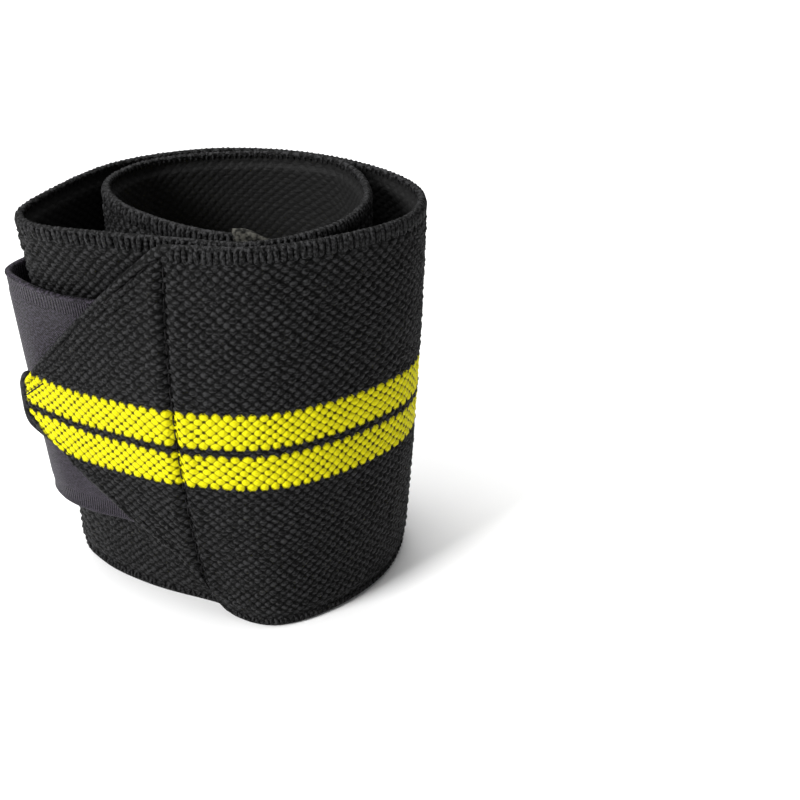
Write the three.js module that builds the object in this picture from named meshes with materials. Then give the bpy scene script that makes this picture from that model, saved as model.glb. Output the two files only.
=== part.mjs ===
import * as THREE from 'three';

// Wrist wrap: a wide woven elastic band with two stripes, rolled up and standing on its
// long edge. Millimetres, +Z up, the foot edge on z = 0, the photographed side facing -Y.

// Band
const BAND_HEIGHT = 80;
const BAND_THICKNESS = 2.0;
const EDGE_CHAMFER = 0.5;

// Facets: stations to a row of the tables, the shortest step kept between stations, and the
// levels of a section between its foot and top chamfers
const STEPS_PER_ROW = 8;
const SHORTEST_STEP = 0.3;
const BAND_LEVELS = [0, 0.25, 0.5, 0.75, 1];
const TAPE_LEVELS = [0, 0.5, 1];
const TANGENT_STEP = 0.02;

// Pointed end, where both corners are turned in behind the band
const POINT_THICKNESS = 2.4;
const POINT_THINS_OUT = { from: 2.9, to: 3.4 };
const TIP_STATIONS = [0, 0.05, 0.12, 0.4];
const SEAM_ROW = 3;
const SEAM_DEPTH = 0.5;
const SEAM_HALF_WIDTH = 0.12;

// Closing tab of hook tape
const TAB_FOOT = 16.4;
const TAB_TOP = 66.4;
const TAB_THICKNESS = 1.2;

// Patch of loop tape on the back of the outer turn
const LOOP_FOOT = 15.5;
const LOOP_TOP = 70.0;
const LOOP_THICKNESS = 1.3;
const LOOP_FIRST_ROW = 8.2;
const LOOP_LAST_ROW = 12.6;

// Whipped hem that closes the inner end
const HEM_FOOT = 0.4;
const HEM_TOP = 80.7;
const HEM_THICKNESS = 2.1;
const HEM_LENGTH_ROWS = 0.62;
const HEM_GAP_ROWS = 0.035;

// Space between two pieces that lie on each other
const CLEARANCE = 0.3;
const LANDING_EASE = 0.2;

// The middle surface of the band in plan, from the tip of the pointed end round the outer
// turn, then round the inner coil: where each upright line of the cloth meets the top edge,
// the middle of the band and the foot edge.
const BAND_ROWS = [
  { at: 'tip', top: [-37.9, -2.6], middle: [-38.8, 0.0], foot: [-37.6, 3.6] },
  { at: 'point, outer third', top: [-31.8, -9.6], middle: [-32.0, -6.8], foot: [-31.0, -3.2] },
  { at: 'point, inner third', top: [-21.8, -16.7], middle: [-21.6, -15.0], foot: [-19.8, -11.4] },
  { at: 'seam', top: [-9.2, -21.4], middle: [-9.8, -22.0], foot: [-5.6, -18.6] },
  { at: 'front', top: [5.4, -25.0], middle: [5.4, -25.2], foot: [5.8, -25.0] },
  { at: 'front right', top: [19.9, -21.9], middle: [19.4, -21.4], foot: [18.0, -21.0] },
  { at: 'right corner', top: [33.8, -13.8], middle: [33.0, -11.6], foot: [29.6, -10.4] },
  { at: 'right', top: [38.0, -2.4], middle: [36.9, 0.6], foot: [34.9, 4.0] },
  { at: 'right, behind', top: [33.9, 9.8], middle: [34.0, 12.0], foot: [33.2, 15.0] },
  { at: 'back right', top: [19.0, 24.0], middle: [20.0, 26.6], foot: [20.4, 29.0] },
  { at: 'back', top: [0.0, 29.3], middle: [0.5, 31.6], foot: [1.0, 33.6] },
  { at: 'back left', top: [-18.3, 23.7], middle: [-18.2, 26.8], foot: [-17.4, 29.0] },
  { at: 'left, behind', top: [-29.5, 10.4], middle: [-29.8, 14.0], foot: [-28.8, 18.0] },
  { at: 'left', top: [-35.1, -1.6], middle: [-32.8, 4.6], foot: [-31.6, 9.4] },
  { at: 'left front', top: [-32.4, -8.3], middle: [-27.8, 0.1], foot: [-27.2, 0.6] },
  { at: 'behind the point', top: [-20.6, -13.9], middle: [-17.0, -9.3], foot: [-18.0, -8.0] },
  { at: 'behind the seam', top: [-7.8, -18.6], middle: [-6.6, -17.8], foot: [-6.2, -15.2] },
  { at: 'front, second layer', top: [5.6, -22.6], middle: [5.6, -22.8], foot: [6.2, -22.4] },
  { at: 'coil front right', top: [18.8, -17.4], middle: [18.4, -17.0], foot: [17.6, -16.6] },
  { at: 'coil right front', top: [25.8, -8.6], middle: [25.6, -7.6], foot: [25.0, -6.6] },
  { at: 'coil right', top: [28.4, 3.0], middle: [27.6, 4.4], foot: [27.2, 6.0] },
  { at: 'coil right, behind', top: [25.2, 15.2], middle: [24.4, 18.0], foot: [24.0, 20.0] },
  { at: 'coil back right', top: [14.4, 23.6], middle: [15.0, 25.4], foot: [15.0, 27.2] },
  { at: 'coil back', top: [0.0, 26.7], middle: [0.5, 28.8], foot: [1.0, 30.6] },
  { at: 'coil back left', top: [-13.4, 23.0], middle: [-13.0, 25.4], foot: [-12.4, 27.0] },
  { at: 'coil left', top: [-20.0, 13.2], middle: [-19.8, 14.8], foot: [-19.4, 16.4] },
  { at: 'coil left front', top: [-17.8, 1.6], middle: [-17.6, 3.0], foot: [-17.2, 4.6] },
  { at: 'coil front left', top: [-9.2, -10.0], middle: [-8.8, -8.8], foot: [-8.4, -7.4] },
  { at: 'inner end, run in', top: [0.2, -17.2], middle: [0.4, -16.6], foot: [0.8, -15.6] },
  { at: 'inner end', top: [8.8, -19.9], middle: [8.8, -20.1], foot: [9.0, -19.7] },
];

// Height of the top edge along the band: the upper corner turned in at the pointed end, then
// the plain edge, which stands a little proud where the coil is squeezed behind on the right.
const TOP_EDGE = [
  { row: 0.0, height: 43.6 },
  { row: 0.12, height: 46.2 },
  { row: 1.0, height: 55.0 },
  { row: 2.0, height: 68.2 },
  { row: 2.85, height: 78.8 },
  { row: 3.0, height: 79.7 },
  { row: 3.3, height: 80.0 },
  { row: 19.6, height: 80.0 },
  { row: 21.2, height: 80.9 },
  { row: 22.8, height: 80.0 },
];

// Height of the foot edge along the band: the lower corner turned in, then the flat foot.
const FOOT_EDGE = [
  { row: 0.0, height: 39.0 },
  { row: 0.12, height: 36.0 },
  { row: 0.4, height: 34.0 },
  { row: 1.0, height: 31.1 },
  { row: 2.0, height: 21.2 },
  { row: 2.7, height: 14.0 },
  { row: 3.0, height: 8.6 },
  { row: 3.15, height: 2.4 },
  { row: 3.3, height: 0.0 },
];

// The middle surface of the closing tab in plan, from where it lands on the loop patch to its
// sewn root behind the pointed end: its top edge, its middle and its foot edge.
const TAB_LANDING_ROWS = [11.0, 11.3, 11.6, 11.9];
const TAB_ROWS = [
  { at: 'bulge', top: [-39.5, 4.8], middle: [-37.9, 6.2], foot: [-36.2, 8.0] },
  { at: 'behind the tip', top: [-36.8, -1.2], middle: [-35.4, 0.2], foot: [-34.0, 1.6] },
  { at: 'behind the turned edges', top: [-29.3, -9.3], middle: [-28.2, -4.6], foot: [-28.3, -4.2] },
  { at: 'leaving the point', top: [-21.6, -13.4], middle: [-20.6, -11.4], foot: [-21.3, -8.3] },
  { at: 'sewn root', top: [-15.8, -16.4], middle: [-14.9, -16.0], foot: [-14.8, -13.8] },
];

const BAND_HEIGHTS = { foot: 0, middle: BAND_HEIGHT / 2, top: BAND_HEIGHT };
const TAB_HEIGHTS = { foot: TAB_FOOT, middle: (TAB_FOOT + TAB_TOP) / 2, top: TAB_TOP };

// Reads a height table between its rows.
function heightAt(table, row) {
  const next = table.findIndex((entry) => entry.row >= row);
  if (next < 0) {
    return table[table.length - 1].height;
  }
  if (next === 0) {
    return table[0].height;
  }
  const before = table[next - 1];
  const after = table[next];
  const share = (row - before.row) / (after.row - before.row);
  return before.height + share * (after.height - before.height);
}

// A cloth surface through three smooth rails, one at each of the given heights.
// row counts along it, z is the height.
class ClothSurface {
  constructor(rows, heights) {
    this.lastRow = rows.length - 1;
    this.heights = heights;
    this.rails = {};
    for (const name of Object.keys(heights)) {
      const points = rows.map((row) => new THREE.Vector3(...row[name], heights[name]));
      this.rails[name] = new THREE.CatmullRomCurve3(points, false, 'centripetal');
    }
  }

  plan(row, z) {
    const share = THREE.MathUtils.clamp(row / this.lastRow, 0, 1);
    const foot = this.rails.foot.getPoint(share);
    const middle = this.rails.middle.getPoint(share);
    const top = this.rails.top.getPoint(share);
    const u = (z - this.heights.foot) / (this.heights.top - this.heights.foot);
    const weightFoot = (1 - u) * (1 - 2 * u);
    const weightMiddle = 4 * u * (1 - u);
    const weightTop = u * (2 * u - 1);
    return new THREE.Vector2(
      weightFoot * foot.x + weightMiddle * middle.x + weightTop * top.x,
      weightFoot * foot.y + weightMiddle * middle.y + weightTop * top.y,
    );
  }

  // Point at a distance outside the surface; the outer turn runs anticlockwise seen from above.
  offset(row, z, distance) {
    const before = this.plan(row - TANGENT_STEP, z);
    const after = this.plan(row + TANGENT_STEP, z);
    const along = after.sub(before).normalize();
    const here = this.plan(row, z);
    return new THREE.Vector3(here.x + along.y * distance, here.y - along.x * distance, z);
  }
}

// One closed strip: a flat section with chamfered edges swept along a cloth surface.
// shape(row) gives foot, top, the distances of the outer and inner faces, and the chamfer.
function stripGeometry(surface, stations, shape, levels) {
  const ring = [];
  for (const row of stations) {
    const { foot, top, outer, inner, chamfer } = shape(row);
    const rise = top - foot - 2 * chamfer;
    const heights = levels.map((level) => foot + chamfer + rise * level);
    const loop = [
      surface.offset(row, foot, outer - chamfer),
      ...heights.map((z) => surface.offset(row, z, outer)),
      surface.offset(row, top, outer - chamfer),
      surface.offset(row, top, inner + chamfer),
      ...heights.slice().reverse().map((z) => surface.offset(row, z, inner)),
      surface.offset(row, foot, inner + chamfer),
    ];
    ring.push(loop);
  }
  return closedLoft(ring, levels.length);
}

// Joins equal loops of points into one closed body with strip-wise end caps.
function closedLoft(ring, levelCount) {
  const size = ring[0].length;
  const positions = ring.flat().flatMap((point) => [point.x, point.y, point.z]);
  const index = [];
  for (let station = 0; station < ring.length - 1; station += 1) {
    for (let corner = 0; corner < size; corner += 1) {
      const a = station * size + corner;
      const b = station * size + (corner + 1) % size;
      index.push(a, a + size, b, b, a + size, b + size);
    }
  }
  const last = (ring.length - 1) * size;
  for (let step = 0; step < levelCount + 1; step += 1) {
    const outerLow = step;
    const outerHigh = step + 1;
    const innerLow = size - 1 - step;
    const innerHigh = size - 2 - step;
    index.push(outerLow, outerHigh, innerLow, outerHigh, innerHigh, innerLow);
    index.push(last + outerLow, last + innerLow, last + outerHigh);
    index.push(last + outerHigh, last + innerLow, last + innerHigh);
  }
  const geometry = new THREE.BufferGeometry();
  geometry.setAttribute('position', new THREE.Float32BufferAttribute(positions, 3));
  geometry.setIndex(index);
  return geometry;
}

// Evenly spaced stations with extra ones where they are asked for.
function stationsBetween(first, last, perRow, extra = []) {
  const count = Math.ceil((last - first) * perRow);
  const even = Array.from({ length: count + 1 }, (_, i) => first + ((last - first) * i) / count);
  const clear = SHORTEST_STEP / perRow;
  const spaced = even.filter((row) => extra.every((other) => Math.abs(other - row) > clear));
  return [...spaced, ...extra].sort((a, b) => a - b);
}

function clothMaterial(color, roughness) {
  return new THREE.MeshStandardMaterial({ color, roughness, metalness: 0 });
}

function namedMesh(name, geometry, material) {
  const mesh = new THREE.Mesh(geometry, material);
  mesh.name = name;
  return mesh;
}

// The elastic band: pointed end, outer turn and inner coil in one strip.
function elasticBand(surface) {
  const seam = [SEAM_ROW - SEAM_HALF_WIDTH, SEAM_ROW, SEAM_ROW + SEAM_HALF_WIDTH];
  const end = surface.lastRow - HEM_LENGTH_ROWS;
  const stations = stationsBetween(0, end, STEPS_PER_ROW, [...TIP_STATIONS, ...seam]);
  const shape = (row) => {
    const plain = THREE.MathUtils.smoothstep(row, POINT_THINS_OUT.from, POINT_THINS_OUT.to);
    const thickness = THREE.MathUtils.lerp(POINT_THICKNESS, BAND_THICKNESS, plain);
    const dip = Math.max(0, 1 - Math.abs(row - SEAM_ROW) / SEAM_HALF_WIDTH) * SEAM_DEPTH;
    return {
      foot: heightAt(FOOT_EDGE, row),
      top: heightAt(TOP_EDGE, row),
      outer: BAND_THICKNESS / 2 - dip,
      inner: BAND_THICKNESS / 2 - thickness,
      chamfer: EDGE_CHAMFER,
    };
  };
  return stripGeometry(surface, stations, shape, BAND_LEVELS);
}

// The closing tab: leaves the pointed end, bows out round the left side and lands on the loops.
function closingTab(band) {
  const underTab = BAND_THICKNESS / 2 + CLEARANCE + LOOP_THICKNESS;
  const stack = underTab + CLEARANCE + LANDING_EASE + TAB_THICKNESS / 2;
  const landing = TAB_LANDING_ROWS.map((row) => {
    const rail = (name) => {
      const point = band.offset(row, TAB_HEIGHTS[name], stack);
      return [point.x, point.y];
    };
    return { top: rail('top'), middle: rail('middle'), foot: rail('foot') };
  });
  const surface = new ClothSurface([...landing, ...TAB_ROWS], TAB_HEIGHTS);
  const stations = stationsBetween(0, surface.lastRow, STEPS_PER_ROW);
  const shape = () => ({
    foot: TAB_FOOT,
    top: TAB_TOP,
    outer: TAB_THICKNESS / 2,
    inner: -TAB_THICKNESS / 2,
    chamfer: EDGE_CHAMFER / 2,
  });
  return stripGeometry(surface, stations, shape, TAPE_LEVELS);
}

// The loop patch: lies on the outer face of the outer turn, round the back.
function loopPatch(band) {
  const stations = stationsBetween(LOOP_FIRST_ROW, LOOP_LAST_ROW, STEPS_PER_ROW);
  const seat = BAND_THICKNESS / 2 + CLEARANCE;
  const shape = () => ({
    foot: LOOP_FOOT,
    top: LOOP_TOP,
    outer: seat + LOOP_THICKNESS,
    inner: seat,
    chamfer: EDGE_CHAMFER / 2,
  });
  return stripGeometry(band, stations, shape, TAPE_LEVELS);
}

// The hem: the last stretch of the strip, a little thicker and taller than the cloth it closes.
function innerEndHem(band) {
  const first = band.lastRow - HEM_LENGTH_ROWS + HEM_GAP_ROWS;
  const stations = stationsBetween(first, band.lastRow, STEPS_PER_ROW);
  const shape = () => ({
    foot: HEM_FOOT,
    top: HEM_TOP,
    outer: HEM_THICKNESS / 2,
    inner: -HEM_THICKNESS / 2,
    chamfer: EDGE_CHAMFER,
  });
  return stripGeometry(band, stations, shape, TAPE_LEVELS);
}

const band = new ClothSurface(BAND_ROWS, BAND_HEIGHTS);
const wrap = new THREE.Group();
wrap.name = 'wrist_wrap';
wrap.add(namedMesh('elastic_band', elasticBand(band), clothMaterial(0x2b2a2a, 0.95)));
wrap.add(namedMesh('hook_tab', closingTab(band), clothMaterial(0x4a4550, 0.8)));
wrap.add(namedMesh('loop_patch', loopPatch(band), clothMaterial(0x2a2530, 1.0)));
wrap.add(namedMesh('inner_end_hem', innerEndHem(band), clothMaterial(0x3a3a38, 0.95)));

// The origin lies under the middle of the whole.
const middle = new THREE.Box3().setFromObject(wrap).getCenter(new THREE.Vector3());
wrap.position.set(-middle.x, -middle.y, 0);

export default wrap;
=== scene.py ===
"""Dresses the rolled wrist wrap: woven elastic band, closing tab, loop patch and hem."""

import logging
import math
from dataclasses import dataclass, field
from enum import Enum
from typing import Callable

import bpy
import numpy as np
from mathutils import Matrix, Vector


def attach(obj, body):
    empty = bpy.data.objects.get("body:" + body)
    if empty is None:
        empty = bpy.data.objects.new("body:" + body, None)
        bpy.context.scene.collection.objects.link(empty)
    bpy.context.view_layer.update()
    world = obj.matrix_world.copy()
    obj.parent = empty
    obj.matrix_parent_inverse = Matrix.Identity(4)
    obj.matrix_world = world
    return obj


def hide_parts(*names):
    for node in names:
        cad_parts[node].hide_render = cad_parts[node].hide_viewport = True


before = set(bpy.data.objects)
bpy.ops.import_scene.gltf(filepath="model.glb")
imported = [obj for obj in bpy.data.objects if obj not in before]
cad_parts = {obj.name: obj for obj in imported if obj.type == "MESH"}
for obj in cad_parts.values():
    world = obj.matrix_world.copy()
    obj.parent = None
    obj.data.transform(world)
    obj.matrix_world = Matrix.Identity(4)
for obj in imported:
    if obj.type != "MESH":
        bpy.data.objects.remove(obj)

LOG = logging.getLogger("wrist_wrap")
MM = 0.001
SEED = 7
# A UV unit is 100 mm of cloth, so that the whole strip stays within a few units.
UV_PER_MM = 0.01

# The middle of the rolled strip in plan, in mm, as the part's source has it. The tables below
# are measured about the photographed front, and the part stands with its middle at the origin.
MIDDLE = (-0.5527, 4.6179)

# Where each upright line of the cloth meets the top edge, the middle and the foot edge.
BAND_ROWS = (
    ("tip", (-37.9, -2.6), (-38.8, 0.0), (-37.6, 3.6)),
    ("point, outer third", (-31.8, -9.6), (-32.0, -6.8), (-31.0, -3.2)),
    ("point, inner third", (-21.8, -16.7), (-21.6, -15.0), (-19.8, -11.4)),
    ("seam", (-9.2, -21.4), (-9.8, -22.0), (-5.6, -18.6)),
    ("front", (5.4, -25.0), (5.4, -25.2), (5.8, -25.0)),
    ("front right", (19.9, -21.9), (19.4, -21.4), (18.0, -21.0)),
    ("right corner", (33.8, -13.8), (33.0, -11.6), (29.6, -10.4)),
    ("right", (38.0, -2.4), (36.9, 0.6), (34.9, 4.0)),
    ("right, behind", (33.9, 9.8), (34.0, 12.0), (33.2, 15.0)),
    ("back right", (19.0, 24.0), (20.0, 26.6), (20.4, 29.0)),
    ("back", (0.0, 29.3), (0.5, 31.6), (1.0, 33.6)),
    ("back left", (-18.3, 23.7), (-18.2, 26.8), (-17.4, 29.0)),
    ("left, behind", (-29.5, 10.4), (-29.8, 14.0), (-28.8, 18.0)),
    ("left", (-35.1, -1.6), (-32.8, 4.6), (-31.6, 9.4)),
    ("left front", (-32.4, -8.3), (-27.8, 0.1), (-27.2, 0.6)),
    ("behind the point", (-20.6, -13.9), (-17.0, -9.3), (-18.0, -8.0)),
    ("behind the seam", (-7.8, -18.6), (-6.6, -17.8), (-6.2, -15.2)),
    ("front, second layer", (5.6, -22.6), (5.6, -22.8), (6.2, -22.4)),
    ("coil front right", (18.8, -17.4), (18.4, -17.0), (17.6, -16.6)),
    ("coil right front", (25.8, -8.6), (25.6, -7.6), (25.0, -6.6)),
    ("coil right", (28.4, 3.0), (27.6, 4.4), (27.2, 6.0)),
    ("coil right, behind", (25.2, 15.2), (24.4, 18.0), (24.0, 20.0)),
    ("coil back right", (14.4, 23.6), (15.0, 25.4), (15.0, 27.2)),
    ("coil back", (0.0, 26.7), (0.5, 28.8), (1.0, 30.6)),
    ("coil back left", (-13.4, 23.0), (-13.0, 25.4), (-12.4, 27.0)),
    ("coil left", (-20.0, 13.2), (-19.8, 14.8), (-19.4, 16.4)),
    ("coil left front", (-17.8, 1.6), (-17.6, 3.0), (-17.2, 4.6)),
    ("coil front left", (-9.2, -10.0), (-8.8, -8.8), (-8.4, -7.4)),
    ("inner end, run in", (0.2, -17.2), (0.4, -16.6), (0.8, -15.6)),
    ("inner end", (8.8, -19.9), (8.8, -20.1), (9.0, -19.7)),
)
TOP_EDGE = (
    (0.0, 43.6), (0.12, 46.2), (1.0, 55.0), (2.0, 68.2), (2.85, 78.8),
    (3.0, 79.7), (3.3, 80.0), (19.6, 80.0), (21.2, 80.9), (22.8, 80.0),
)
FOOT_EDGE = (
    (0.0, 39.0), (0.12, 36.0), (0.4, 34.0), (1.0, 31.1), (2.0, 21.2),
    (2.7, 14.0), (3.0, 8.6), (3.08, 5.2), (3.15, 2.7), (3.24, 1.1), (3.38, 0.3), (3.6, 0.0),
)
TAB_ROWS = (
    ("bulge", (-39.5, 4.8), (-37.9, 6.2), (-36.2, 8.0)),
    ("behind the tip", (-36.8, -1.2), (-35.4, 0.2), (-34.0, 1.6)),
    ("behind the turned edges", (-29.3, -9.3), (-28.2, -4.6), (-28.3, -4.2)),
    ("leaving the point", (-21.6, -13.4), (-20.6, -11.4), (-21.3, -8.3)),
    ("sewn root", (-15.8, -16.4), (-14.9, -16.0), (-14.8, -13.8)),
)
TAB_LANDING_ROWS = (11.0, 11.3, 11.6, 11.9)

Array = np.ndarray


def linear(hex_colour: str) -> tuple[float, float, float, float]:
    """Turns an sRGB hex colour such as #2b2a2a to linear RGBA.

    Args:
        hex_colour: The colour as a painter reads it.

    Returns:
        Linear red, green and blue, and alpha 1.
    """
    values = [int(hex_colour[i : i + 2], 16) / 255 for i in (1, 3, 5)]
    red, green, blue = (v / 12.92 if v <= 0.04045 else ((v + 0.055) / 1.055) ** 2.4 for v in values)
    return red, green, blue, 1.0


def smooth(value: Array, start: float, end: float) -> Array:
    """Rises smoothly from 0 at start to 1 at end.

    Args:
        value: Where to read it.
        start: The value that gives 0.
        end: The value that gives 1; it may be below start.

    Returns:
        The smooth step at each value.
    """
    share = np.clip((value - start) / (end - start), 0, 1)
    return share * share * (3 - 2 * share)


def smooth_rail(points: Array, at: Array) -> Array:
    """Reads a centripetal Catmull-Rom curve through points, as the part's source draws it.

    Args:
        points: The rail's points in plan, one a row.
        at: Rows to read, which may lie between two points.

    Returns:
        The plan position at each row.
    """
    first = 2 * points[0] - points[1]
    last = 2 * points[-1] - points[-2]
    padded = np.vstack([first, points, last])
    at = np.clip(at, 0, len(points) - 1)
    i = np.minimum(at.astype(int), len(points) - 2)
    w = (at - i)[:, None]
    p0, p1, p2, p3 = (padded[i + k] for k in range(4))
    pairs = ((p0, p1), (p1, p2), (p2, p3))
    d0, d1, d2 = (np.sqrt(np.linalg.norm(b - a, axis=1))[:, None] for a, b in pairs)
    t1 = ((p1 - p0) / d0 - (p2 - p0) / (d0 + d1) + (p2 - p1) / d1) * d1
    t2 = ((p2 - p1) / d1 - (p3 - p1) / (d1 + d2) + (p3 - p2) / d2) * d1
    return p1 + t1 * w + (3 * (p2 - p1) - 2 * t1 - t2) * w**2 + (2 * (p1 - p2) + t1 + t2) * w**3


@dataclass
class ClothSurface:
    """The middle surface of a strip through three rails, at its foot, middle and top.

    It is read by length in mm along the strip's middle, and by height in mm.

    Attributes:
        rows: Name, and top, middle and foot place in plan, of each upright line of the cloth.
        foot: Height of the foot rail.
        top: Height of the top rail.
        samples: Places at which the length is measured.
        rails: The foot, middle and top rail.
        row_at: Row at each of those places.
        length_at: Length at each of them.
    """

    rows: tuple
    foot: float = 0.0
    top: float = 80.0
    samples: int = 6001
    rails: list = field(init=False)
    row_at: Array = field(init=False)
    length_at: Array = field(init=False)

    def __post_init__(self) -> None:
        """Lays the rails and measures the length along the middle one."""
        self.rails = [np.array([row[k] for row in self.rows], dtype=float) for k in (3, 2, 1)]
        self.row_at = np.linspace(0, len(self.rows) - 1, self.samples)
        middle = smooth_rail(self.rails[1], self.row_at)
        run = np.linalg.norm(np.diff(middle, axis=0), axis=1)
        self.length_at = np.concatenate([[0], np.cumsum(run)])

    @property
    def length(self) -> float:
        """The strip's length along its middle, in mm."""
        return float(self.length_at[-1])

    def row_of(self, length: Array) -> Array:
        """The table row at a length in mm."""
        return np.interp(length, self.length_at, self.row_at)

    def length_of(self, row: float) -> float:
        """The length in mm at a table row."""
        return float(np.interp(row, self.row_at, self.length_at))

    def plan(self, row: Array, z: Array) -> Array:
        """The middle surface in plan.

        Args:
            row: Table rows.
            z: Heights in mm.

        Returns:
            One x, y pair for each row and height.
        """
        foot, middle, top = (smooth_rail(rail, row) for rail in self.rails)
        u = ((z - self.foot) / (self.top - self.foot))[:, None]
        return (1 - u) * (1 - 2 * u) * foot + 4 * u * (1 - u) * middle + u * (2 * u - 1) * top

    def place(self, row: Array, z: Array, out: Array) -> Array:
        """Points at a distance outside the middle surface, in metres in the part's frame.

        Args:
            row: Table rows.
            z: Heights in mm.
            out: Distances outside the surface in mm.

        Returns:
            One x, y, z triple for each.
        """
        step = 0.02
        along = self.plan(row + step, z) - self.plan(row - step, z)
        along /= np.linalg.norm(along, axis=1)[:, None]
        here = self.plan(row, z)
        x = here[:, 0] + along[:, 1] * out - MIDDLE[0]
        y = here[:, 1] - along[:, 0] * out - MIDDLE[1]
        return np.stack([x, y, z], axis=1) * MM


def edge_height(table: tuple, row: Array) -> Array:
    """Reads a table of edge heights between its rows."""
    return np.interp(row, [entry[0] for entry in table], [entry[1] for entry in table])


class Face(Enum):
    """Which side of a strip carries the finest relief."""

    OUTER = "outer"
    INNER = "inner"


# Wavelength in mm, direction, and how far the lobes drift along and up there, in mm.
DRIFT_WAVES = (
    (37.0, 0.3, 0.35, 0.12),
    (17.0, 1.9, 0.22, 0.08),
    (8.3, 1.1, 0.08, 0.04),
    (5.1, 2.6, 0.04, 0.03),
    (3.3, 0.7, 0.03, 0.025),
    (2.7, 2.1, 0.025, 0.02),
)


@dataclass(frozen=True)
class Weave:
    """The lattice of the elastic: rows of lobes, each row set off by half a lobe.

    Attributes:
        period: Width of a lobe along the band, in mm.
        pitch: Height from one row of lobes to the next, in mm.
        centre: Height of the black row between the two stripes, in mm.
        depth: How far a lobe stands over the pits round it, in mm.
        lively: How much the heights of the lobes differ.
        blunt: Power of a lobe's dome; below 1 it is blunt.
        stripe_from: Rows from the black row over which the fuller yarn of a stripe begins.
        stripe_to: Rows over which it ends.
        stripe_blunt: What the fuller yarn adds to the power of the dome.
        stripe_flat: How much lower its lobes are.
        stripe_rise: How much farther out they lie, as a share of the depth.
        level: How far the pits lie inside the cloth's face, as a share of the depth.
    """

    period: float = 2.15
    pitch: float = 0.97
    centre: float = 40.0
    depth: float = 0.55
    lively: float = 0.5
    blunt: float = 0.55
    stripe_from: tuple = (1.0, 2.0)
    stripe_to: tuple = (8.0, 7.0)
    stripe_blunt: float = 0.65
    stripe_flat: float = 0.45
    stripe_rise: float = 0.03
    level: float = 0.65

    def drift(self, length: Array, z: Array) -> tuple[Array, Array]:
        """How far the hand of the cloth has drifted, as the lobes are never quite in line.

        Args:
            length: Length along the band in mm.
            z: Height in mm.

        Returns:
            The place in the ideal lattice that lies at each point, length and height in mm.
        """
        along, up = np.zeros_like(length), np.zeros_like(z)
        for wave, turn, sideways, upright in DRIFT_WAVES:
            phase = 2 * math.pi * (length * math.cos(turn) + z * math.sin(turn)) / wave
            along += sideways * np.sin(phase + 3.0 * turn)
            up += upright * np.cos(phase + 5.0 * turn)
        return length + along, z + up

    def cell(self, length: Array, z: Array) -> tuple[Array, Array, Array, Array]:
        """The lobe that each point lies on.

        Args:
            length: Length along the band in mm.
            z: Height in mm.

        Returns:
            The lobe's two whole numbers, and where in the lobe the point is, from -0.5 to 0.5.
        """
        u = length / self.period
        k = (z - self.centre) / self.pitch - 0.5
        a, b = u + k / 2, u - k / 2
        ia, ib = np.round(a), np.round(b)
        return ia, ib, a - ia, b - ib

    def relief(self, length: Array, z: Array) -> Array:
        """Height of the cloth's face over its middle level, in mm."""
        length, z = self.drift(length, z)
        ia, ib, fa, fb = self.cell(length, z)
        dome = np.clip(np.cos(math.pi * fa) * np.cos(math.pi * fb), 0, 1)
        lively = 1 + self.lively * (lobe_noise(ia, ib) - 0.5)
        # The yarns of the stripes are fuller, so that their lobes run softly into each other.
        row = np.abs(z - self.centre) / self.pitch
        full = smooth(row, *self.stripe_from) * smooth(row, *self.stripe_to)
        shape = dome ** (self.blunt + self.stripe_blunt * full)
        level = self.level - self.stripe_rise * full
        return self.depth * (1 - self.stripe_flat * full) * (shape * lively - level)


def lobe_noise(a: Array, b: Array) -> Array:
    """A number from 0 to 1 for each lobe, the same on each run."""
    # Large factors in a sine leave no pattern from one lobe to the next.
    value = np.sin(a * 127.1 + b * 311.7 + SEED) * 43758.5453
    return value - np.floor(value)


def deselect() -> None:
    """Leaves nothing selected."""
    for obj in bpy.context.selected_objects:
        obj.select_set(False)


def select_only(obj: bpy.types.Object) -> None:
    """Selects one object and makes it active."""
    deselect()
    obj.select_set(True)
    bpy.context.view_layer.objects.active = obj


def cloth_grid(name: str, columns: int, rows: int) -> bpy.types.Object:
    """Adds a flat grid as the cloth lies before it is rolled up.

    Args:
        name: The piece's name.
        columns: Vertices along the strip.
        rows: Vertices round its section.

    Returns:
        The grid's object at the origin.
    """
    deselect()
    bpy.ops.mesh.primitive_grid_add(x_subdivisions=columns - 1, y_subdivisions=rows - 1, size=1)
    grid = bpy.context.active_object
    grid.name = name
    grid.data.name = name
    return grid


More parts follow.
